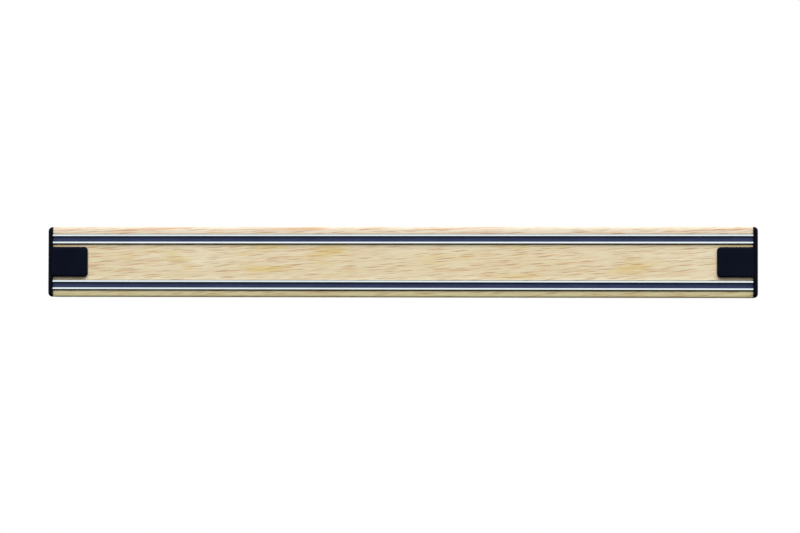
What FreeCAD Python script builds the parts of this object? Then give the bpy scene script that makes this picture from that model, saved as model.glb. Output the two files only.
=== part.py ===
"""Magnetic knife rack: a wooden batten with two magnetic rails and a push-on cap at each end.

Frame, in millimetres: X runs along the rack, Y from the front to the wall, and Z is up.
The origin is the centre of the batten's back face, which lies on the wall.

Each rail is a sandwich let into a groove of the batten: a row of flat magnets between two steel strips
on edge, with an infill strip in front of the magnets. The caps close the two ends of the batten. Each
has a tongue that hides a wall screw, and two spigots that push in between the steel strips.
"""

import FreeCAD, Part
import math
import os
import re

import Sketcher
from FreeCAD import Vector

SIZES = (
    # alias, size, what it is
    ("overall_length", 450, "rack over both end caps"),
    ("batten_height", 44.5, "batten, bottom to top"),
    ("batten_depth", 18, "batten, wall to flat front"),
    ("crown_radius", 14, "long curve that eases the front towards the top and bottom"),
    ("arris_radius", 1.2, "rounding where the crown meets the top and bottom"),
    ("back_arris", 0.8, "rounding of the two long edges at the wall"),
    ("front_land", 0.5, "flat wood left between a groove and the crown"),
    ("rail_inset", 7.65, "middle of a rail, from the nearer long edge of the batten"),
    ("strip_thick", 1.2, "steel strip, across its edge"),
    ("strip_deep", 12, "steel strip, front to back"),
    ("strip_proud", 1, "how far the strips stand out of the batten"),
    ("strip_round", 0.2, "rolled front edges of a strip"),
    ("rail_clearance", 0.3, "between a rail and each wall of its groove"),
    ("magnet_thick", 3.4, "magnet, between its two strips"),
    ("magnet_deep", 9, "magnet, front to back"),
    ("magnet_long", 40, "magnet, along the rail"),
    ("magnet_chamfer", 0.4, "broken ends of a magnet"),
    ("magnet_count", 8, "magnets in one rail"),
    ("magnet_end_room", 20, "batten's end to the nearest magnet"),
    ("infill_recess", 0.8, "infill, below the front edges of the steel"),
    ("infill_clearance", 0.05, "between the infill and each steel strip"),
    ("screw_hole", 4.5, "diameter of the hole for a wall screw"),
    ("screw_sink", 9, "diameter of its countersink at the front"),
    ("screw_sink_angle", 90, "degrees across the countersink"),
    ("screw_inset", 12, "batten's end to the middle of a wall screw"),
    ("cap_plate", 2.9, "thickness of a cap's plate"),
    ("cap_corner", 3, "rounding of the plate's two front corners"),
    ("cap_round", 2.4, "rounding of the rim of the plate's outer face"),
    ("cap_wall", 1.6, "wall round the hollows behind the plate"),
    ("cap_hollow", 1.5, "depth of the hollows"),
    ("cap_rib", 1.6, "rib between the two hollows"),
    ("cap_wall_gap", 0.3, "between the cap and the room's wall"),
    ("seat_gap", 0.1, "between the cap and the wood that it lies on"),
    ("tongue_thick", 1.9, "tongue over the front of the batten"),
    ("tongue_long", 22.7, "tongue, along the rack"),
    ("tongue_gap", 2.1, "between the tongue and the steel strips"),
    ("tongue_corner", 2.5, "free corners of the tongue"),
    ("tongue_round", 1.2, "rounding of the tongue's front edges"),
    ("spigot_long", 12, "spigot, inwards from the batten's end"),
    ("spigot_fit", 0.1, "between a spigot and what is round it"),
    ("spigot_lead", 0.7, "bevel round a spigot's tip"),
)

DERIVED = {
    # what follows from the sizes, all measured from the origin except where a name says otherwise
    "batten_long": "overall_length - 2 * (cap_plate + seat_gap)",
    "batten_end": "batten_long / 2",
    "batten_top": "batten_height / 2",
    "rail_middle": "batten_top - rail_inset",
    "rail_high": "magnet_thick + 2 * strip_thick",
    "groove_high": "rail_high + 2 * rail_clearance",
    "groove_floor": "strip_front - strip_deep",
    "flat_top": "rail_middle + groove_high / 2 + front_land",
    "strip_front": "batten_depth + strip_proud",
    "magnet_front": "groove_floor + magnet_deep",
    "magnet_run": "batten_long - 2 * magnet_end_room - magnet_long",
    "magnet_pitch": "magnet_run / (magnet_count - 1)",
    "infill_front": "strip_front - infill_recess",
    "infill_high": "magnet_thick - 2 * infill_clearance",
    "screw_at": "batten_end - screw_inset",
    "cap_inner": "batten_end + seat_gap",
    "cap_outer": "cap_inner + cap_plate",
    "cap_front": "tongue_back + tongue_thick",
    "hollow_top": "batten_top - cap_wall",
    "hollow_front": "batten_depth - cap_wall",
    "hollow_back": "cap_wall_gap + cap_wall",
    "hollow_floor": "cap_inner + cap_hollow",
    "tongue_back": "batten_depth + seat_gap",
    "tongue_top": "rail_middle - rail_high / 2 - tongue_gap",
    "tongue_end": "cap_inner - tongue_long",
    "spigot_high": "magnet_thick - 2 * spigot_fit",
    "spigot_front": "magnet_front - spigot_fit",
    "spigot_deep": "magnet_deep - 2 * spigot_fit",
    "spigot_end": "batten_end - spigot_long",
}

SIDES = {"upper": 1, "lower": -1}  # which way each rail lies from the middle
NEAR = 1e-3  # two places closer than this are the same place

doc = FreeCAD.newDocument("magnetic_knife_rack")
sheet = doc.addObject("Spreadsheet::Sheet", "sizes")
for row, (alias, size, meaning) in enumerate(SIZES, start=1):
    sheet.set(f"A{row}", meaning)
    sheet.set(f"B{row}", str(size))
    sheet.setAlias(f"B{row}", alias)
doc.recompute()
cells = [alias for alias, size, meaning in SIZES]
nodes = []  # the sub-parts, in the order in which they are made


def spell(expression):
    """Writes an expression out over the sheet's cells, so that a dimension can follow it."""

    def spell_word(match):
        word = match.group()
        if word in DERIVED:
            return f"({spell(DERIVED[word])})"
        return f"sizes.{word}" if word in cells else word

    return re.sub("[a-z_]+", spell_word, expression)


def value(expression):
    """The value that an expression has now."""
    return float(sheet.evalExpression(spell(expression)))


def near(first, second):
    return abs(first - second) < NEAR


# Sketches


def add_sketch(body, name, plane, x="0", z="0"):
    """A sketch on one of the body's origin planes, shifted along its own first axis and its normal."""
    sketch = body.newObject("Sketcher::SketchObject", name)
    support = next(f for f in body.Origin.OriginFeatures if f.Role == plane)
    sketch.AttachmentSupport = [(support, "")]
    sketch.MapMode = "FlatFace"
    sketch.setExpression("AttachmentOffset.Base.x", spell(x))
    sketch.setExpression("AttachmentOffset.Base.z", spell(z))
    return sketch


def bind(sketch, name, expression, kind, *where):
    """Gives the sketch a named size that follows an expression."""
    index = sketch.addConstraint(Sketcher.Constraint(kind, *where, value(expression)))
    sketch.renameConstraint(index, name)
    sketch.setExpression(f"Constraints.{name}", spell(expression))


def draw_rectangle(sketch, name, left, bottom, width, height):
    """Draws a rectangle whose lower left corner and size are expressions."""
    x, y = value(left), value(bottom)
    right, top = x + value(width), y + value(height)
    corners = [Vector(x, y, 0), Vector(right, y, 0), Vector(right, top, 0), Vector(x, top, 0)]
    followers = corners[1:] + corners[:1]
    edges = [sketch.addGeometry(Part.LineSegment(a, b)) for a, b in zip(corners, followers)]
    for edge, follower in zip(edges, edges[1:] + edges[:1]):
        sketch.addConstraint(Sketcher.Constraint("Coincident", edge, 2, follower, 1))
    for edge, direction in zip(edges, ("Horizontal", "Vertical") * 2):
        sketch.addConstraint(Sketcher.Constraint(direction, edge))
    bind(sketch, f"{name}_left", left, "DistanceX", -1, 1, edges[0], 1)
    bind(sketch, f"{name}_bottom", bottom, "DistanceY", -1, 1, edges[0], 1)
    bind(sketch, f"{name}_width", width, "DistanceX", edges[0], 1, edges[0], 2)
    bind(sketch, f"{name}_height", height, "DistanceY", edges[1], 1, edges[1], 2)


def draw_crowned_section(sketch, depth):
    """Draws the rack's section: flat at the back and in front, with a crown towards the top and bottom.

    The first axis of the sketch runs to the wall and the second one up. An arc starts at the end from
    which it turns left.
    """
    front, top, flat = -value(depth), value("batten_top"), value("flat_top")
    radius = value("crown_radius")
    turn = math.asin((top - flat) / radius)
    middle = front + radius
    corner = middle - radius * math.cos(turn)

    def add_line(*ends):
        return sketch.addGeometry(Part.LineSegment(*(Vector(x, y, 0) for x, y in ends)))

    def add_crown(height, start, end):
        circle = Part.Circle(Vector(middle, height, 0), Vector(0, 0, 1), radius)
        return sketch.addGeometry(Part.ArcOfCircle(circle, start, end))

    back_line = add_line((0, top), (0, -top))
    bottom_line = add_line((0, -top), (corner, -top))
    lower_crown = add_crown(-flat, math.pi, math.pi + turn)
    front_line = add_line((front, -flat), (front, flat))
    upper_crown = add_crown(flat, math.pi - turn, math.pi)
    top_line = add_line((corner, top), (0, top))
    for kind, *where in (
        ("Coincident", back_line, 2, bottom_line, 1),
        ("Coincident", bottom_line, 2, lower_crown, 2),
        ("Tangent", lower_crown, 1, front_line, 1),
        ("Tangent", front_line, 2, upper_crown, 2),
        ("Coincident", upper_crown, 1, top_line, 1),
        ("Coincident", top_line, 2, back_line, 1),
        ("Horizontal", bottom_line),
        ("Horizontal", top_line),
        ("PointOnObject", back_line, 1, -2),
        ("Symmetric", back_line, 1, back_line, 2, -1),
        ("Symmetric", front_line, 1, front_line, 2, -1),
        ("Equal", lower_crown, upper_crown),
    ):
        sketch.addConstraint(Sketcher.Constraint(kind, *where))
    bind(sketch, "height", "batten_height", "DistanceY", back_line, 2, back_line, 1)
    bind(sketch, "flat", "2 * flat_top", "DistanceY", front_line, 1, front_line, 2)
    bind(sketch, "depth", depth, "DistanceX", front_line, 1, back_line, 2)
    bind(sketch, "crown", "crown_radius", "Radius", upper_crown)


# Features


def add_body(label):
    """Starts a sub-part."""
    body = doc.addObject("PartDesign::Body", label)
    body.Label = label
    nodes.append(body)
    return body


def add_pad(body, name, sketch, length, midplane=False, backwards=False):
    """Grows a sketch into a solid."""
    pad = body.newObject("PartDesign::Pad", name)
    pad.Profile = sketch
    pad.Midplane = midplane
    pad.Reversed = backwards
    pad.setExpression("Length", spell(length))
    doc.recompute()


def cut(body, kind, name, sketch, **settings):
    """Cuts a sketch into the body with a Pocket or a Hole, and makes sure that it cuts something."""
    doc.recompute()
    before = body.Shape.Volume
    feature = body.newObject(kind, name)
    feature.Profile = sketch
    for setting, wanted in settings.items():
        if setting in ("Length", "Diameter", "HoleCutDiameter", "HoleCutCountersinkAngle"):
            feature.setExpression(setting, spell(wanted))
        else:
            setattr(feature, setting, wanted)
    doc.recompute()
    if body.Shape.Volume > before - NEAR:
        raise RuntimeError(f"{name} cuts nothing")


def dress(body, kind, name, size, test):
    """Rounds or bevels the edges whose bounding box passes the test."""
    base = body.Tip
    edges = [f"Edge{i}" for i, edge in enumerate(base.Shape.Edges, start=1) if test(edge.BoundBox)]
    if not edges:
        raise RuntimeError(f"{name} finds no edge")
    feature = body.newObject(kind, name)
    feature.Base = (base, edges)
    feature.setExpression("Radius" if kind == "PartDesign::Fillet" else "Size", spell(size))
    doc.recompute()


# Sub-parts


def make_batten():
    """The batten, with a groove for each rail and a countersunk hole near each end."""
    body = add_body("batten")
    section = add_sketch(body, "batten_section", "YZ_Plane")
    draw_crowned_section(section, "batten_depth")
    add_pad(body, "bar", section, "batten_long", midplane=True)
    length, top = value("batten_long"), value("batten_top")

    def is_long_corner(box):
        return near(box.XLength, length) and near(abs(box.ZMin), top)

    def is_front_arris(box):
        return is_long_corner(box) and not near(box.YMax, 0)

    def is_back_arris(box):
        return is_long_corner(box) and near(box.YMax, 0)

    dress(body, "PartDesign::Fillet", "front_arrises", "arris_radius", is_front_arris)
    dress(body, "PartDesign::Fillet", "back_arrises", "back_arris", is_back_arris)

    grooves = add_sketch(body, "groove_section", "YZ_Plane")
    for rail, side in SIDES.items():
        bottom = f"{side} * rail_middle - groove_high / 2"
        draw_rectangle(grooves, rail, "-strip_front", bottom, "strip_deep", "groove_high")
    cut(body, "PartDesign::Pocket", "grooves", grooves, Midplane=True, Length="overall_length")

    screws = add_sketch(body, "screw_places", "XZ_Plane", z="batten_depth")
    for name, side in (("left", -1), ("right", 1)):
        place = f"{side} * screw_at"
        circle = Part.Circle(Vector(value(place), 0, 0), Vector(0, 0, 1), value("screw_hole") / 2)
        hole = screws.addGeometry(circle)
        screws.addConstraint(Sketcher.Constraint("PointOnObject", hole, 3, -1))
        bind(screws, f"{name}_place", place, "DistanceX", -1, 1, hole, 3)
        bind(screws, f"{name}_bore", "screw_hole", "Diameter", hole)
    cut(
        body,
        "PartDesign::Hole",
        "screw_holes",
        screws,
        DepthType="ThroughAll",
        Diameter="screw_hole",
        HoleCutType="Countersink",
        HoleCutDiameter="screw_sink",
        HoleCutCountersinkAngle="screw_sink_angle",
    )


def make_strip(label, rail_side, strip_side):
    """A steel strip on edge, which stands a little out of the batten. Its front edges are rolled."""
    body = add_body(label)
    section = add_sketch(body, f"{label}_section", "YZ_Plane")
    middle = f"{rail_side} * rail_middle + {strip_side} * (magnet_thick + strip_thick) / 2"
    bottom = f"{middle} - strip_thick / 2"
    draw_rectangle(section, "strip", "-strip_front", bottom, "strip_deep", "strip_thick")
    add_pad(body, f"{label}_bar", section, "batten_long", midplane=True)
    length, front = value("batten_long"), -value("strip_front")

    def is_front_edge(box):
        return near(box.XLength, length) and near(box.YMax, front)

    dress(body, "PartDesign::Fillet", f"{label}_round", "strip_round", is_front_edge)


def make_infill(label, rail_side):
    """The strip that fills the gap between two steel strips, in front of the magnets."""
    infill = doc.addObject("Part::Box", label)
    infill.Label = label
    for name, expression in (
        ("Length", "batten_long"),
        ("Width", "infill_front - magnet_front"),
        ("Height", "infill_high"),
        ("Placement.Base.x", "-batten_end"),
        ("Placement.Base.y", "-infill_front"),
        ("Placement.Base.z", f"{rail_side} * rail_middle - infill_high / 2"),
    ):
        infill.setExpression(name, spell(expression))
    nodes.append(infill)


def make_magnet(label, rail_side, place):
    """The magnet at a place along its rail, counted from 0. The edges of its ends are broken."""
    body = add_body(label)
    section = add_sketch(body, f"{label}_section", "YZ_Plane")
    draw_rectangle(section, "magnet", "0", "-magnet_thick / 2", "magnet_deep", "magnet_thick")
    add_pad(body, f"{label}_block", section, "magnet_long")
    length = value("magnet_long")

    def is_end_edge(box):
        return near(box.XMin, box.XMax) and (near(box.XMin, 0) or near(box.XMin, length))

    dress(body, "PartDesign::Chamfer", f"{label}_ends", "magnet_chamfer", is_end_edge)
    for name, expression in (
        ("x", f"magnet_end_room - batten_end + {place} * magnet_pitch"),
        ("y", "-magnet_front"),
        ("z", f"{rail_side} * rail_middle"),
    ):
        body.setExpression(f"Placement.Base.{name}", spell(expression))


def make_left_cap():
    """The left end cap, moulded in one piece: a tongue, a hollow plate and two spigots."""
    body = add_body("left_end_cap")
    inner, outer, end = -value("cap_inner"), -value("cap_outer"), -value("tongue_end")
    front, top = -value("cap_front"), value("batten_top")
    back, tip = -value("cap_wall_gap"), -value("spigot_end")

    tongue = add_sketch(body, "tongue_outline", "XZ_Plane", z="tongue_back")
    draw_rectangle(tongue, "tongue", "-cap_inner", "-tongue_top", "tongue_long", "2 * tongue_top")
    add_pad(body, "tongue", tongue, "tongue_thick")

    def is_free_corner(box):
        return near(box.XMin, end) and near(box.XMax, end) and near(box.ZLength, 0)

    def is_tongue_rim(box):
        return near(box.YMin, front) and near(box.YMax, front) and not near(box.XMax, inner)

    dress(body, "PartDesign::Fillet", "tongue_corners", "tongue_corner", is_free_corner)
    dress(body, "PartDesign::Fillet", "tongue_rim", "tongue_round", is_tongue_rim)

    plate = add_sketch(body, "plate_section", "YZ_Plane", x="-cap_wall_gap", z="-cap_inner")
    draw_crowned_section(plate, "cap_front - cap_wall_gap")
    add_pad(body, "plate", plate, "cap_plate", backwards=True)

    def is_plate_corner(box):
        spans_plate = near(box.XMin, outer) and near(box.XMax, inner)
        return spans_plate and near(abs(box.ZMin), top) and not near(box.YMax, back)

    def is_plate_rim(box):
        return near(box.XMin, outer) and near(box.XMax, outer) and not near(box.YMin, back)

    dress(body, "PartDesign::Fillet", "plate_corners", "cap_corner", is_plate_corner)
    dress(body, "PartDesign::Fillet", "plate_rim", "cap_round", is_plate_rim)

    hollows = add_sketch(body, "hollow_section", "YZ_Plane", z="-cap_inner")
    for name, bottom in (("upper", "cap_rib / 2"), ("lower", "-hollow_top")):
        depth, height = "hollow_front - hollow_back", "hollow_top - cap_rib / 2"
        draw_rectangle(hollows, name, "-hollow_front", bottom, depth, height)
    cut(body, "PartDesign::Pocket", "hollows", hollows, Length="cap_hollow")

    spigots = add_sketch(body, "spigot_section", "YZ_Plane", z="-hollow_floor")
    for rail, side in SIDES.items():
        bottom = f"{side} * rail_middle - spigot_high / 2"
        draw_rectangle(spigots, rail, "-spigot_front", bottom, "spigot_deep", "spigot_high")
    add_pad(body, "spigots", spigots, "hollow_floor - spigot_end")

    def is_tip(box):
        return near(box.XMin, tip) and near(box.XMax, tip)

    dress(body, "PartDesign::Chamfer", "spigot_tips", "spigot_lead", is_tip)
    return body


def mirror(source, label):
    """A mirror image of a sub-part, on the other end of the rack."""
    image = doc.addObject("Part::Mirroring", label)
    image.Label = label
    image.Source = source
    image.Normal = Vector(1, 0, 0)
    nodes.append(image)


make_batten()
for rail, rail_side in SIDES.items():
    make_strip(f"{rail}_rail_top_strip", rail_side, 1)
    make_strip(f"{rail}_rail_bottom_strip", rail_side, -1)
    make_infill(f"{rail}_rail_infill", rail_side)
    for place in range(int(value("magnet_count"))):
        make_magnet(f"{rail}_magnet_{place + 1}", rail_side, place)
mirror(make_left_cap(), "right_end_cap")
doc.recompute()

for thing in doc.Objects:
    if {"Invalid", "Error"} & set(thing.State):
        raise RuntimeError(f"{thing.Label} failed: {thing.State}")
for node in nodes:
    if node.Shape.isNull() or not node.Shape.isValid() or len(node.Shape.Solids) != 1:
        raise RuntimeError(f"{node.Label} has no sound solid")

os.makedirs("parts", exist_ok=True)
for node in nodes:
    node.Shape.exportStep(f"parts/{node.Label}.step")
    print(f"{node.Label}: {node.Shape.Volume:.1f} mm3")
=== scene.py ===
"""Finished look of the wall-mounted magnetic knife rack, in metres.

X runs along the rack, Y goes into the wall and Z is up. Every piece takes its place from the frame's
boxes. The batten's section and the moulded caps have more shape than a box tells, so their radii and
walls are named below.
"""

import math

import bmesh
import bpy
from mathutils import Euler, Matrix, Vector


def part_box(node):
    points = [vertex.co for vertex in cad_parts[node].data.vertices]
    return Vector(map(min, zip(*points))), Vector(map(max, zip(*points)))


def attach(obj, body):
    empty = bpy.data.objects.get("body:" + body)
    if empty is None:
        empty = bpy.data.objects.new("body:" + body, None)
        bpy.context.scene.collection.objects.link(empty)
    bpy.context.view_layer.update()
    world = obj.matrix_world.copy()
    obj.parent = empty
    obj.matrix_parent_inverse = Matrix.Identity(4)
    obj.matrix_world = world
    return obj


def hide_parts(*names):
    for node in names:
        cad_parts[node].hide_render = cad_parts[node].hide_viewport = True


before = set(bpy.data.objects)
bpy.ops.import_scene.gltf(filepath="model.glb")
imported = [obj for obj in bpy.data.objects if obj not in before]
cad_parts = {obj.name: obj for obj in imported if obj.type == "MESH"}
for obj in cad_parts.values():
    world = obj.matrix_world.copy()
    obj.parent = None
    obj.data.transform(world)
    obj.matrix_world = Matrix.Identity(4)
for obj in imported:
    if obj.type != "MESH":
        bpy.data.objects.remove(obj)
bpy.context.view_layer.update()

MM = 0.001

# Shapes that the batten and the caps share
CROWN_RADIUS = 14 * MM
FLAT_TOP = 18.3 * MM  # height above the middle where the front starts to curve back
CROWN_STEPS = 10
BACK_STEPS = 6
SMOOTH_ANGLE = 40  # degrees, under which two faces are shaded as one

# Batten
FRONT_ARRIS = 1.2 * MM
BACK_ARRIS = 0.8 * MM
GAP_UNDER_RAIL = 0.7 * MM
GAP_OVER_RAIL = 0.2 * MM
BATTEN_EDGE = 0.16 * MM  # hand-sanded softness of every cut edge
SCREW_HOLE = 2.25 * MM  # radius
SCREW_SINK = 4.5 * MM  # radius at the front
SCREW_INSET = 12 * MM
SCREW_STEPS = 64

# Rails
STRIP_ROUND_TOP = 0.1 * MM
STRIP_ROUND_UNDER = 0.3 * MM
STRIP_EDGE = 0.03 * MM
STRIP_STEPS = 6
MAGNET_EDGE = 0.4 * MM
MAGNET_SOFTNESS = 0.08 * MM
INFILL_RIM = 0.8 * MM
INFILL_HOLLOW = 0.1 * MM
INFILL_SLIT = 0.65 * MM
INFILL_SLIT_DEPTH = 1.6 * MM
INFILL_ROUND = 0.12 * MM

# Caps
PLATE = 2.9 * MM
PLATE_CORNER = 3 * MM
PLATE_ROUND = 2.4 * MM
CAP_WALL = 1.6 * MM
HOLLOW_DEPTH = 1.5 * MM
TONGUE_THICK = 1.9 * MM
TONGUE_GAP = 2.1 * MM
TONGUE_CORNER = 2.5 * MM
TONGUE_ROUND = 1.5 * MM
TONGUE_ROOT = 0.4 * MM  # how far it runs into the plate
TONGUE_STEP = 0.02 * MM  # how far it lies behind the plate's front
SPIGOT_LONG = 12 * MM
SPIGOT_FIT = 0.1 * MM
SPIGOT_LEAD = 0.7 * MM
MOULD_EDGE = 0.1 * MM
MOULD_STEPS = 10
TONGUE_STEPS = 8
HOLLOW_STEPS = 4

RAILS = ("upper", "lower")
MAGNETS_A_RAIL = 8


# Modelling by hand


def put_down():
    """Leaves nothing selected."""
    bpy.ops.object.select_all(action="DESELECT")


def pick_up(piece):
    """Selects the piece and nothing else."""
    put_down()
    piece.select_set(True)
    bpy.context.view_layer.objects.active = piece


def start_editing(piece):
    pick_up(piece)
    bpy.ops.object.mode_set(mode="EDIT")


def stop_editing():
    bpy.ops.object.mode_set(mode="OBJECT")


def pick(kind, test):
    """In edit mode, selects the vertices, edges or faces that pass the test, and nothing else."""
    bpy.ops.mesh.select_mode(type=kind)
    bpy.ops.mesh.select_all(action="DESELECT")
    mesh = bmesh.from_edit_mesh(bpy.context.object.data)
    for element in {"VERT": mesh.verts, "EDGE": mesh.edges, "FACE": mesh.faces}[kind]:
        if test(element):
            element.select_set(True)
    bmesh.update_edit_mesh(bpy.context.object.data)


def middle(edge):
    return (edge.verts[0].co + edge.verts[1].co) / 2


def near(first, second):
    """Whether two lengths are the same, to a thousandth of a millimetre."""
    return abs(first - second) < 1e-6


def add_block(name, low, high):
    """A block between two corners, with its place in its mesh."""
    put_down()
    low, high = Vector(low), Vector(high)
    bpy.ops.mesh.primitive_cube_add(size=1, location=(low + high) / 2)
    block = bpy.context.object
    block.name = name
    block.scale = high - low
    bpy.ops.object.transform_apply(location=True, rotation=True, scale=True)
    return block


def bevel(offset, segments):
    bpy.ops.mesh.bevel(offset=offset, offset_type="OFFSET", segments=segments, affect="EDGES")


def apply_modifier(piece, kind, **settings):
    pick_up(piece)
    modifier = piece.modifiers.new(kind.lower(), kind)
    for name, wanted in settings.items():
        setattr(modifier, name, wanted)
    bpy.ops.object.modifier_apply(modifier=modifier.name)


def carve(piece, tool, operation="DIFFERENCE"):
    """Cuts the tool out of the piece, or joins it on, and throws the tool away."""
    apply_modifier(piece, "BOOLEAN", object=tool, operation=operation, solver="EXACT")
    bpy.data.objects.remove(tool, do_unlink=True)


def soften(piece, width, segments=2, angle=SMOOTH_ANGLE):
    """Rounds every edge that turns by more than the angle."""
    apply_modifier(
        piece,
        "BEVEL",
        width=width,
        segments=segments,
        limit_method="ANGLE",
        angle_limit=math.radians(angle),
        use_clamp_overlap=False,
    )


def smooth(piece):
    """Shades across the soft edges, and keeps the flat faces looking flat."""
    pick_up(piece)
    bpy.ops.object.shade_smooth_by_angle(angle=math.radians(SMOOTH_ANGLE))
    apply_modifier(piece, "WEIGHTED_NORMAL", mode="FACE_AREA", keep_sharp=True)


def copy_piece(piece, name, shift=(0, 0, 0), scale=(1, 1, 1)):
    """A copy with its own mesh, mirrored or moved, with its place in its mesh."""
    pick_up(piece)
    bpy.ops.object.duplicate()
    twin = bpy.context.object
    twin.name = name
    twin.location, twin.scale = shift, scale
    bpy.ops.object.transform_apply(location=True, rotation=True, scale=True)
    return twin


def finish_piece(piece, node, body, material):
    smooth(piece)
    piece.data.materials.clear()
    piece.data.materials.append(material)
    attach(piece, body)
    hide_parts(node)


# The section that the batten and the caps' plates share


def start_line(name, x, y, z):
    """A single vertex, ready to be drawn on."""
    put_down()
    bpy.ops.mesh.primitive_plane_add(size=MM, location=(0, 0, 0))
    line = bpy.context.object
    line.name = name
    start_editing(line)
    bpy.ops.mesh.select_mode(type="VERT")
    bpy.ops.mesh.select_all(action="SELECT")
    bpy.ops.mesh.merge(type="CENTER")
    bpy.ops.transform.translate(value=(x, y, z))
    return line


def pen_place():
    """Where the selected vertex is, the one that the line is drawn on from."""
    mesh = bmesh.from_edit_mesh(bpy.context.object.data)
    return next(vertex for vertex in mesh.verts if vertex.select).co


def draw_to(y, z):
    """Draws a straight line."""
    pen = pen_place()
    step = (0, y - pen.y, z - pen.z)
    bpy.ops.mesh.extrude_region_move(TRANSFORM_OT_translate={"value": step})


def turn_about(y, z, degrees, steps):
    """Draws an arc that goes over the top towards the wall."""
    centre = (pen_place().x, y, z)
    bpy.ops.mesh.spin(steps=steps, angle=math.radians(degrees), center=centre, axis=(1, 0, 0))


def draw_around(front, back, top, arris, back_arris):
    """Goes from the flat front over the crown, the top, the back and the bottom to the front again."""
    crown_y = front + CROWN_RADIUS
    inner = CROWN_RADIUS - arris
    lean = math.degrees(math.asin((top - arris - FLAT_TOP) / inner))
    arris_y = crown_y - inner * math.cos(math.radians(lean))
    draw_to(front, FLAT_TOP)
    turn_about(crown_y, FLAT_TOP, lean, CROWN_STEPS)
    turn_about(arris_y, top - arris, 90 - lean, CROWN_STEPS)
    for corner in (top - back_arris, back_arris - top):
        if back_arris:
            if corner > 0:
                draw_to(back - back_arris, top)
            else:
                draw_to(back, corner)
            turn_about(back - back_arris, corner, 90, BACK_STEPS)
        else:
            draw_to(back, corner)
    draw_to(arris_y, -top)
    turn_about(arris_y, arris - top, 90 - lean, CROWN_STEPS)
    turn_about(crown_y, -FLAT_TOP, lean, CROWN_STEPS)


def grow_bar(bar, length):
    """Pulls the drawn outline out along X and closes the bar's two ends."""
    bpy.ops.mesh.select_all(action="SELECT")
    bpy.ops.mesh.remove_doubles(threshold=MM / 1000)
    bpy.ops.mesh.extrude_region_move(TRANSFORM_OT_translate={"value": (length, 0, 0)})
    bpy.ops.mesh.select_all(action="SELECT")
    bpy.ops.mesh.fill_holes(sides=0)
    bpy.ops.mesh.select_all(action="SELECT")
    bpy.ops.mesh.normals_make_consistent(inside=False)
    stop_editing()


# Pieces


def shape_batten():
    """The wooden bar: crowned front, sanded arrises, a groove for each rail and two countersunk holes."""
    low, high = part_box("batten")
    front = low[1]
    batten = start_line("batten_bar", low[0], front, -FLAT_TOP)
    for rail in reversed(RAILS):
        lower_strip, upper_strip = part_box(f"{rail}_rail_bottom_strip"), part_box(f"{rail}_rail_top_strip")
        groove_bottom = lower_strip[0][2] - GAP_UNDER_RAIL
        groove_top = upper_strip[1][2] + GAP_OVER_RAIL
        groove_floor = upper_strip[1][1]
        draw_to(front, groove_bottom)
        draw_to(groove_floor, groove_bottom)
        draw_to(groove_floor, groove_top)
        draw_to(front, groove_top)
    draw_around(front, high[1], high[2], FRONT_ARRIS, BACK_ARRIS)
    grow_bar(batten, high[0] - low[0])
    for side in (-1, 1):
        carve(batten, shape_screw_cutter(side * (high[0] - SCREW_INSET), front, high[1]))
    soften(batten, BATTEN_EDGE)
    return batten


def shape_screw_cutter(x, front, back):
    """The room that a countersunk screw takes, from the wall to a little in front of the wood."""
    sink = SCREW_SINK - SCREW_HOLE
    put_down()
    bpy.ops.mesh.primitive_cylinder_add(
        vertices=SCREW_STEPS,
        radius=SCREW_HOLE,
        depth=back - front - sink + MM,
        location=(x, (back + front + sink + MM) / 2, 0),
        rotation=(math.pi / 2, 0, 0),
    )
    cutter = bpy.context.object
    bpy.ops.object.transform_apply(location=True, rotation=True, scale=True)
    start_editing(cutter)
    pick("FACE", lambda face: face.normal.y < -0.9)
    bpy.ops.mesh.extrude_region_move(TRANSFORM_OT_translate={"value": (0, -sink - MM, 0)})
    grow = (SCREW_SINK + MM) / SCREW_HOLE
    bpy.ops.transform.resize(value=(grow, 1, grow), center_override=(x, 0, 0))
    stop_editing()
    return cutter


def shape_strip(name, node):
    """A steel strip on edge with rolled front edges, the lower one rounder."""
    low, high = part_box(node)
    strip = add_block(name, low, high)
    start_editing(strip)
    for height, roundness in ((high[2], STRIP_ROUND_TOP), (low[2], STRIP_ROUND_UNDER)):
        pick("EDGE", lambda edge: near(middle(edge).y, low[1]) and near(middle(edge).z, height))
        bevel(roundness, STRIP_STEPS)
    stop_editing()
    soften(strip, STRIP_EDGE)
    return strip


def shape_infill(name, node):
    """The infill, with a slit left open under the steel above it and a shallow dip along its front."""
    low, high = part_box(node)
    infill = add_block(name, low, high)
    slit_low = (low[0] - MM, low[1] - MM, high[2] - INFILL_SLIT)
    slit_high = (high[0] + MM, low[1] + INFILL_SLIT_DEPTH, high[2] + MM)
    carve(infill, add_block("slit", slit_low, slit_high))
    start_editing(infill)
    pick("FACE", lambda face: face.normal.y < -0.9 and near(face.calc_center_median().y, low[1]))
    bpy.ops.mesh.inset(thickness=INFILL_RIM)
    bpy.ops.transform.translate(value=(0, INFILL_HOLLOW, 0))
    stop_editing()
    soften(infill, INFILL_ROUND, segments=3, angle=12)
    return infill


def shape_magnet(name, node):
    """A ferrite block with broken edges."""
    low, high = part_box(node)
    magnet = add_block(name, low, high)
    start_editing(magnet)
    pick("EDGE", lambda edge: near(edge.verts[0].co.x, edge.verts[1].co.x))
    bevel(MAGNET_EDGE, 1)
    stop_editing()
    soften(magnet, MAGNET_SOFTNESS, angle=20)
    return magnet


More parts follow.
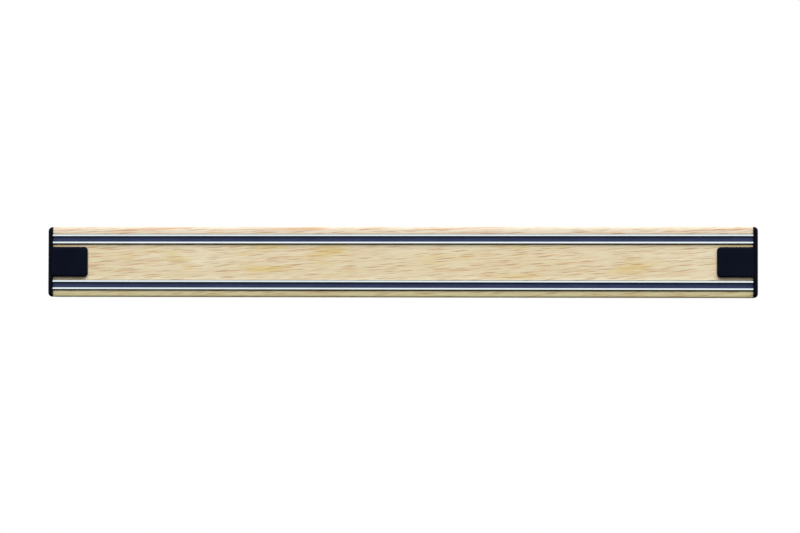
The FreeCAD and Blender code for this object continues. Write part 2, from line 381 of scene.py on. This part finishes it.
def shape_tongue(low, high, inner):
    """The flap that lies over the wood and hides a wall screw."""
    front = low[1] + TONGUE_STEP
    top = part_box("upper_rail_bottom_strip")[0][2] - TONGUE_GAP
    root = inner - TONGUE_ROOT
    tongue = add_block("tongue", (root, front, -top), (high[0], front + TONGUE_THICK, top))
    start_editing(tongue)

    def is_free_corner(edge):
        runs_back = not near(edge.verts[0].co.y, edge.verts[1].co.y)
        return runs_back and near(middle(edge).x, high[0])

    pick("EDGE", is_free_corner)
    bevel(TONGUE_CORNER, MOULD_STEPS)
    pick("EDGE", lambda edge: near(middle(edge).y, front) and not near(middle(edge).x, root))
    bevel(TONGUE_ROUND, TONGUE_STEPS)
    stop_editing()
    return tongue


def shape_spigot(rail, floor, tip):
    """A blade that pushes in between two steel strips, behind the infill."""
    low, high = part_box(f"{rail}_magnet_1")
    blade_low = (floor, low[1] + SPIGOT_FIT, low[2] + SPIGOT_FIT)
    blade_high = (tip, high[1] - SPIGOT_FIT, high[2] - SPIGOT_FIT)
    spigot = add_block("spigot", blade_low, blade_high)
    start_editing(spigot)
    pick("EDGE", lambda edge: near(edge.verts[0].co.x, tip) and near(edge.verts[1].co.x, tip))
    bevel(SPIGOT_LEAD, 1)
    stop_editing()
    return spigot


def shape_left_cap():
    """The left cap: a rounded plate with two hollows behind it, the tongue and two spigots."""
    low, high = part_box("left_end_cap")
    batten_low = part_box("batten")[0]
    inner = low[0] + PLATE
    plate = start_line("cap_left", low[0], low[1], -FLAT_TOP)
    draw_around(low[1], high[1], high[2], PLATE_CORNER, 0)
    grow_bar(plate, PLATE)
    start_editing(plate)

    def is_rim(edge):
        on_outside = near(edge.verts[0].co.x, low[0]) and near(edge.verts[1].co.x, low[0])
        return on_outside and middle(edge).y < high[1] - MM / 10

    pick("EDGE", is_rim)
    bevel(PLATE_ROUND, MOULD_STEPS)
    stop_editing()

    hollow_top = high[2] - CAP_WALL
    hollow_back, hollow_front = high[1] - CAP_WALL, batten_low[1] + CAP_WALL
    floor = inner - HOLLOW_DEPTH
    for bottom, top in ((CAP_WALL / 2, hollow_top), (-hollow_top, -CAP_WALL / 2)):
        hollow = add_block("hollow", (floor, hollow_front, bottom), (inner + MM, hollow_back, top))
        start_editing(hollow)
        pick("EDGE", lambda edge: not near(edge.verts[0].co.x, edge.verts[1].co.x))
        bevel(CAP_WALL / 2, HOLLOW_STEPS)
        stop_editing()
        carve(plate, hollow)
    soften(plate, MOULD_EDGE, angle=30)
    carve(plate, shape_tongue(low, high, inner), "UNION")
    for rail in RAILS:
        spigot = shape_spigot(rail, floor - MM / 2, batten_low[0] + SPIGOT_LONG)
        carve(plate, spigot, "UNION")
    return plate


# Finishes

GRAIN_CLIMB = 4.5  # degrees
EDGE_BAND = (15.5 * MM, 19.5 * MM)  # heights between which the wood beyond a rail is blended to another tone
PAINTED_BOUNCE_BAND = (-8.8 * MM, -11.3 * MM)  # heights between which the wood is painted paler towards the lower rail, a painted light for the light thrown off the steel
TOP_FACE = (21.5 * MM, 22.2 * MM)  # heights between which the front turns into the top face, where the top face's painted shade starts
PLATE_START = (222.1 * MM, 222.3 * MM)  # how far from the middle a cap's tongue turns into its plate, where the plate's painted shade starts


class Finish:
    """A material under construction: its nodes and the links between them."""

    def __init__(self, name, **sockets):
        self.material = bpy.data.materials.new(name)
        self.material.use_nodes = True
        self.tree = self.material.node_tree
        self.shader = self.tree.nodes["Principled BSDF"]
        for socket, wanted in sockets.items():
            self.shader.inputs[socket.replace("_", " ")].default_value = wanted
        self.place = self.tree.nodes.new("ShaderNodeTexCoord").outputs["Object"]

    def feed(self, node, **inputs):
        for name, wanted in inputs.items():
            socket = node.inputs[name.replace("_", " ")]
            if isinstance(wanted, bpy.types.NodeSocket):
                self.tree.links.new(wanted, socket)
            else:
                socket.default_value = wanted
        return node

    def stretched(self, scale, tilt=0.0, shift=(0, 0, 0)):
        """The piece's own coordinates, turned so that the grain climbs by tilt degrees, then scaled."""
        turned = self.feed(self.tree.nodes.new("ShaderNodeMapping"), Vector=self.place)
        turned.inputs["Rotation"].default_value = (0, math.radians(tilt), 0)
        scaled = self.feed(self.tree.nodes.new("ShaderNodeMapping"), Vector=turned.outputs[0])
        scaled.inputs["Scale"].default_value = scale
        scaled.inputs["Location"].default_value = shift
        return scaled.outputs[0]

    def noise(self, vector, detail=2.0, roughness=0.5, distortion=0.0):
        node = self.tree.nodes.new("ShaderNodeTexNoise")
        self.feed(node, Vector=vector, Scale=1.0, Detail=detail, Roughness=roughness, Distortion=distortion)
        return node.outputs["Fac"]

    def cells(self, vector):
        """Scattered cells: how far from a cell's middle, and a random value for each cell."""
        node = self.tree.nodes.new("ShaderNodeTexVoronoi")
        self.feed(node, Vector=vector, Scale=1.0, Randomness=1.0)
        return node.outputs["Distance"], node.outputs["Color"]

    def span(self, value, low, high, to_low=0.0, to_high=1.0):
        """Stretches the part of a value between low and high over a new range, and clamps the rest."""
        node = self.tree.nodes.new("ShaderNodeMapRange")
        self.feed(node, Value=value, From_Min=low, From_Max=high, To_Min=to_low, To_Max=to_high)
        return node.outputs[0]

    def reckon(self, operation, first, second):
        node = self.tree.nodes.new("ShaderNodeMath")
        node.operation = operation
        for socket, wanted in zip(node.inputs, (first, second)):
            if isinstance(wanted, bpy.types.NodeSocket):
                self.tree.links.new(wanted, socket)
            else:
                socket.default_value = wanted
        return node.outputs[0]

    def fall(self, value, low, high):
        """One below low, nothing above high, and in between it falls evenly."""
        return self.span(value, low, high, 1.0, 0.0)

    def times(self, first, second):
        return self.reckon("MULTIPLY", first, second)

    def plus(self, first, second):
        return self.reckon("ADD", first, second)

    def less(self, first, second):
        return self.reckon("SUBTRACT", first, second)

    def along(self):
        """How far along the rack a point is."""
        return self.feed(self.tree.nodes.new("ShaderNodeSeparateXYZ"), Vector=self.place).outputs["X"]

    def height(self):
        """How far up the rack a point is."""
        return self.feed(self.tree.nodes.new("ShaderNodeSeparateXYZ"), Vector=self.place).outputs["Z"]

    def blend(self, amount, first, second):
        """Mixes two colours by an amount."""
        node = self.tree.nodes.new("ShaderNodeMix")
        node.data_type = "RGBA"
        colours = [s for s in node.inputs if s.type == "RGBA"]
        for socket, wanted in zip([node.inputs[0], *colours], (amount, first, second)):
            if isinstance(wanted, bpy.types.NodeSocket):
                self.tree.links.new(wanted, socket)
            else:
                socket.default_value = wanted if isinstance(wanted, float) else (*wanted, 1.0)
        return next(s for s in node.outputs if s.type == "RGBA")

    def bump(self, height, depth):
        node = self.tree.nodes.new("ShaderNodeBump")
        self.feed(node, Height=height, Distance=depth, Strength=1.0)
        self.tree.links.new(node.outputs[0], self.shader.inputs["Normal"])

    def paint(self, **inputs):
        self.feed(self.shader, **inputs)
        return self.material


def tint(red, green, blue):
    """A colour given as it looks on a screen, 0 to 255, as the shader's linear value."""

    def linear(channel):
        share = channel / 255
        return share / 12.92 if share <= 0.04045 else ((share + 0.055) / 1.055) ** 2.4

    return linear(red), linear(green), linear(blue)


def mix_rubberwood():
    """Pale rubberwood: cloudy cream, with orange streaks and short pores that climb, and dark flecks.

    The band above the upper rail is pinkish with long red lines, and the band below the lower rail is
    greener. Just above the lower rail the wood is painted paler, a painted light for the light thrown
    off the steel, and the top face is painted darker than the front, a painted shade that keeps it
    from washing out under the light from above.
    """
    wood = Finish("rubberwood", Specular_IOR_Level=0.2)
    climb = GRAIN_CLIMB
    upper = wood.span(wood.height(), *EDGE_BAND)
    lower = wood.span(wood.height(), -EDGE_BAND[0], -EDGE_BAND[1])

    broad = wood.noise(wood.stretched((13, 70, 70), climb), detail=3.0, roughness=0.55, distortion=0.5)
    tone = wood.blend(wood.span(broad, 0.32, 0.68), tint(236, 222, 185), tint(242, 231, 200))
    gold = wood.noise(wood.stretched((26, 110, 110), climb, (3.1, 0.7, 5.2)), detail=3.0)
    tone = wood.blend(wood.span(gold, 0.53, 0.7, to_high=0.8), tone, tint(230, 208, 134))
    # Painted light: the wood pales just above the lower rail, standing in for the light thrown off the
    # steel
    tone = wood.blend(wood.span(wood.height(), *PAINTED_BOUNCE_BAND, to_high=0.9), tone, tint(252, 244, 212))
    tone = wood.blend(wood.times(upper, 0.8), tone, tint(229, 219, 204))
    tone = wood.blend(wood.times(lower, 0.7), tone, tint(242, 233, 172))

    cloud = wood.noise(wood.stretched((20, 90, 90), climb, (7.7, 1.1, 2.6)), detail=2.0)
    long_cells = wood.stretched((48, 1450, 1450), climb, (2.0, 5.0, 3.0))
    streak = wood.noise(long_cells, detail=3.0, roughness=0.65)
    streak = wood.times(wood.span(streak, 0.54, 0.6), wood.span(cloud, 0.35, 0.6, 0.38, 0.54))
    tone = wood.blend(streak, tone, tint(220, 166, 108))

    thin_cells = wood.stretched((11, 650, 900), climb / 2, (1.2, 6.6, 0.4))
    line = wood.noise(thin_cells, detail=3.0, distortion=0.4)
    line = wood.times(wood.span(line, 0.53, 0.62), wood.span(upper, 0.0, 1.0, 0.12, 0.55))
    tone = wood.blend(line, tone, tint(196, 132, 92))

    away, lot = wood.cells(wood.stretched((64, 1350, 1350), climb))
    pores = wood.times(wood.fall(away, 0.2, 0.42), wood.span(lot, 0.55, 0.62))
    tone = wood.blend(wood.times(pores, 0.6), tone, tint(184, 126, 84))

    far, draw = wood.cells(wood.stretched((62, 480, 480), climb, (0.5, 0.3, 7.7)))
    fleck = wood.times(wood.fall(far, 0.08, 0.2), wood.span(draw, 0.8, 0.84))
    tone = wood.blend(wood.times(fleck, 0.85), tone, tint(104, 76, 52))

    fibre = wood.noise(wood.stretched((100, 2400, 2400), climb), detail=2.0, roughness=0.6)
    tone = wood.blend(wood.span(fibre, 0.42, 0.7, to_high=0.36), tone, tint(206, 180, 134))

    # Painted shade: the top face is tinted darker so that it doesn't wash out under the light from above
    tone = wood.blend(wood.span(wood.height(), *TOP_FACE, to_high=0.65), tone, tint(190, 170, 136))

    wood.bump(wood.less(wood.times(fibre, 0.5), pores), 0.06 * MM)
    return wood.paint(Base_Color=tone, Roughness=wood.span(fibre, 0.2, 0.8, 0.5, 0.66))


def roll_steel():
    """Bright steel drawn along its length, with faint lines and a little waviness."""
    steel = Finish("drawn_steel", Metallic=1.0, Anisotropic=0.35)
    lines = steel.noise(steel.stretched((9, 9000, 9000)), detail=3.0, roughness=0.65)
    cloud = steel.noise(steel.stretched((35, 300, 300)), detail=2.0)
    colour = steel.blend(steel.span(lines, 0.3, 0.7), tint(236, 248, 252), tint(245, 253, 255))
    colour = steel.blend(steel.span(cloud, 0.4, 0.8, to_high=0.3), colour, tint(222, 238, 246))
    rough = steel.plus(steel.span(lines, 0.2, 0.8, 0.2, 0.34), steel.span(cloud, 0.3, 0.7, to_high=0.06))
    steel.bump(lines, 0.004 * MM)
    return steel.paint(Base_Color=colour, Roughness=rough)


def pour_infill():
    """Dark blue-grey plastic, satin, with faint lines along it and fine specks."""
    infill = Finish("infill_plastic", Specular_IOR_Level=0.2)
    streaks = infill.noise(infill.stretched((12, 2200, 2200)), detail=3.0)
    cloud = infill.noise(infill.stretched((60, 200, 200)), detail=3.0)
    away, lot = infill.cells(infill.stretched((1500, 1500, 1500)))
    speck = infill.times(infill.fall(away, 0.1, 0.25), infill.span(lot, 0.75, 0.85))
    colour = infill.blend(infill.span(cloud, 0.3, 0.7), tint(42, 52, 84), tint(54, 64, 98))
    colour = infill.blend(infill.span(streaks, 0.45, 0.75, to_high=0.4), colour, tint(60, 67, 97))
    colour = infill.blend(infill.times(speck, 0.4), colour, tint(112, 118, 140))
    infill.bump(infill.plus(streaks, speck), 0.01 * MM)
    return infill.paint(Base_Color=colour, Roughness=infill.span(streaks, 0.2, 0.8, 0.36, 0.5))


def mould_cap_plastic():
    """Black plastic with the fine spark-eroded texture of its mould and a few rubbed places.

    The plate is painted blacker than the tongue, a painted shade on its rounded rim.
    """
    cap = Finish("cap_plastic", Specular_IOR_Level=0.05)
    grain = cap.noise(cap.stretched((4200, 4200, 4200)), detail=2.0, roughness=0.6)
    cloud = cap.noise(cap.stretched((70, 70, 70)), detail=3.0)
    rubbed = cap.noise(cap.stretched((160, 420, 420), 20), detail=4.0, roughness=0.7)
    colour = cap.blend(cap.span(cloud, 0.3, 0.7), tint(8, 12, 25), tint(12, 17, 31))
    colour = cap.blend(cap.span(grain, 0.55, 0.8, to_high=0.4), colour, tint(20, 25, 40))
    # Painted shade: the plate is darkened towards black, for the shade on its rounded rim
    plate = cap.span(cap.reckon("ABSOLUTE", cap.along(), 0.0), *PLATE_START)
    colour = cap.blend(cap.times(plate, 0.6), colour, tint(2, 3, 5))
    rough = cap.less(cap.span(grain, 0.3, 0.7, 0.46, 0.6), cap.span(rubbed, 0.55, 0.8, to_high=0.12))
    cap.bump(grain, 0.02 * MM)
    return cap.paint(Base_Color=colour, Roughness=rough)


def press_ferrite():
    """Ground ferrite: dark grey and granular, with grinding lines."""
    ferrite = Finish("ferrite", Specular_IOR_Level=0.4)
    grains = ferrite.noise(ferrite.stretched((2600, 2600, 2600)), detail=4.0, roughness=0.7)
    lines = ferrite.noise(ferrite.stretched((3000, 60, 60)), detail=2.0)
    colour = ferrite.blend(ferrite.span(grains, 0.35, 0.7), tint(44, 44, 47), tint(74, 74, 78))
    ferrite.bump(ferrite.plus(grains, lines), 0.02 * MM)
    return ferrite.paint(Base_Color=colour, Roughness=ferrite.span(lines, 0.3, 0.7, 0.5, 0.68))


# Making the rack

wood, steel, infill_plastic = mix_rubberwood(), roll_steel(), pour_infill()
ferrite, cap_plastic = press_ferrite(), mould_cap_plastic()

finish_piece(shape_batten(), "batten", "rack", wood)

for rail in RAILS:
    for side in ("top", "bottom"):
        node = f"{rail}_rail_{side}_strip"
        finish_piece(shape_strip(f"strip_{rail}_{side}", node), node, "rack", steel)
    node = f"{rail}_rail_infill"
    finish_piece(shape_infill(f"infill_{rail}", node), node, "rack", infill_plastic)

pattern_magnet = shape_magnet("magnet_pattern", "upper_magnet_1")
pattern_low = Vector(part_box("upper_magnet_1")[0])
for rail in RAILS:
    for number in range(1, MAGNETS_A_RAIL + 1):
        node = f"{rail}_magnet_{number}"
        shift = Vector(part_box(node)[0]) - pattern_low
        magnet = copy_piece(pattern_magnet, f"magnet_{rail}_{number}", shift)
        finish_piece(magnet, node, "rack", ferrite)
bpy.data.objects.remove(pattern_magnet, do_unlink=True)

left_cap = shape_left_cap()
right_cap = copy_piece(left_cap, "cap_right", scale=(-1, 1, 1))
start_editing(right_cap)
bpy.ops.mesh.select_all(action="SELECT")
bpy.ops.mesh.normals_make_consistent(inside=False)
stop_editing()
finish_piece(left_cap, "left_end_cap", "left_cap", cap_plastic)
finish_piece(right_cap, "right_end_cap", "right_cap", cap_plastic)


# Studio

FLOOR_DEPTH = 1.0
FLOOR_SIZE = 16
FLOOR_GLOW = 0.84
LIGHT_FROM_BELOW, LIGHT_FROM_ABOVE = 0.2, 0.22
SHINE_FROM_BELOW, SHINE_FROM_ABOVE = 0.06, 1.0
SHINE_CHANGE = (-0.6, -0.3)  # slopes between which a reflection goes from dark to white
RACK_MIDDLE = Vector((0, -10 * MM, 0))
CAMERA_AWAY = 1.6
CAMERA_TURN = 4.37  # degrees to the rack's right
CAMERA_RISE = -1.36  # degrees, so it looks up a little
CAMERA_ROLL = 0.15
CAMERA_LENS = 113.3
CAMERA_SENSOR = 36
CAMERA_REACH = 30
CAMERA_AIM = Vector((-0.0002, -0.01, -0.0026))


def lay_floor():
    put_down()
    bpy.ops.mesh.primitive_plane_add(size=FLOOR_SIZE, location=(0, 0, -FLOOR_DEPTH))
    floor = bpy.context.object
    floor.name = "floor"
    paper = Finish("paper_floor", Specular_IOR_Level=0.1, Roughness=0.9, Emission_Strength=FLOOR_GLOW)
    paper.material.cycles.emission_sampling = "NONE"
    cloud = paper.noise(paper.stretched((3, 3, 3)))
    colour = paper.blend(paper.span(cloud, 0.3, 0.7), tint(247, 247, 247), tint(250, 250, 250))
    floor.data.materials.append(paper.paint(Base_Color=colour, Emission_Color=colour))
    floor.visible_diffuse = False
    floor.visible_glossy = False


def hang_light(name, place, width, height, power):
    """A white rectangle of light, turned to the rack and not seen in its reflections."""
    put_down()
    bpy.ops.object.light_add(type="AREA", location=place)
    light = bpy.context.object
    light.name = name
    light.data.shape = "RECTANGLE"
    light.data.size, light.data.size_y = width, height
    light.data.energy = power
    light.visible_glossy = False
    light.rotation_euler = (-Vector(place)).to_track_quat("-Z", "Y").to_euler()


def set_world():
    """White to the camera. Reflections of it are white too, but dark from below. As light it is dim."""
    world = bpy.data.worlds.new("studio")
    bpy.context.scene.world = world
    world.use_nodes = True
    tree = world.node_tree
    tree.nodes.clear()
    link = tree.links.new

    def background(strength):
        node = tree.nodes.new("ShaderNodeBackground")
        node.inputs["Color"].default_value = (1, 1, 1, 1)
        link(strength, node.inputs["Strength"])
        return node.outputs[0]

    def spread(value, low, high, to_low, to_high):
        node = tree.nodes.new("ShaderNodeMapRange")
        link(value, node.inputs["Value"])
        ends = {"From Min": low, "From Max": high, "To Min": to_low, "To Max": to_high}
        for name, wanted in ends.items():
            node.inputs[name].default_value = wanted
        return node.outputs[0]

    def reckon(operation, first, second):
        node = tree.nodes.new("ShaderNodeMath")
        node.operation = operation
        link(first, node.inputs[0])
        if isinstance(second, float):
            node.inputs[1].default_value = second
        else:
            link(second, node.inputs[1])
        return node.outputs[0]

    direction = tree.nodes.new("ShaderNodeTexCoord").outputs["Generated"]
    split = tree.nodes.new("ShaderNodeSeparateXYZ")
    link(direction, split.inputs[0])
    slope = split.outputs["Z"]
    rays = tree.nodes.new("ShaderNodeLightPath").outputs
    to_camera = rays["Is Camera Ray"]

    light = background(spread(slope, -1.0, 1.0, LIGHT_FROM_BELOW, LIGHT_FROM_ABOVE))
    shine = spread(slope, *SHINE_CHANGE, SHINE_FROM_BELOW, SHINE_FROM_ABOVE)
    seen = background(reckon("MAXIMUM", to_camera, shine))
    straight = reckon("LESS_THAN", rays["Diffuse Depth"], 0.5)
    mirrored = reckon("MULTIPLY", rays["Is Glossy Ray"], straight)

    mix = tree.nodes.new("ShaderNodeMixShader")
    link(reckon("MAXIMUM", to_camera, mirrored), mix.inputs[0])
    link(light, mix.inputs[1])
    link(seen, mix.inputs[2])
    link(mix.outputs[0], tree.nodes.new("ShaderNodeOutputWorld").inputs[0])


def place_camera():
    turn, rise = math.radians(CAMERA_TURN), math.radians(CAMERA_RISE)
    away = Vector((math.sin(turn) * math.cos(rise), -math.cos(turn) * math.cos(rise), math.sin(rise)))
    place = RACK_MIDDLE + CAMERA_AWAY * away
    put_down()
    bpy.ops.object.camera_add(location=place)
    camera = bpy.context.object
    camera.name = "camera"
    look = (CAMERA_AIM - place).to_track_quat("-Z", "Y")
    roll = Euler((0, 0, math.radians(CAMERA_ROLL))).to_quaternion()
    camera.rotation_euler = (look @ roll).to_euler()
    camera.data.lens = CAMERA_LENS
    camera.data.sensor_width = CAMERA_SENSOR
    camera.data.clip_end = CAMERA_REACH
    bpy.context.scene.camera = camera


lay_floor()
set_world()
hang_light("front_strip", (0.1, -0.86, 1.58), width=2.4, height=1.2, power=64)
hang_light("back_fill", (-0.4, 1.6, 1.1), width=1.6, height=1.0, power=24)
place_camera()
bpy.context.scene.view_settings.view_transform = "Standard"
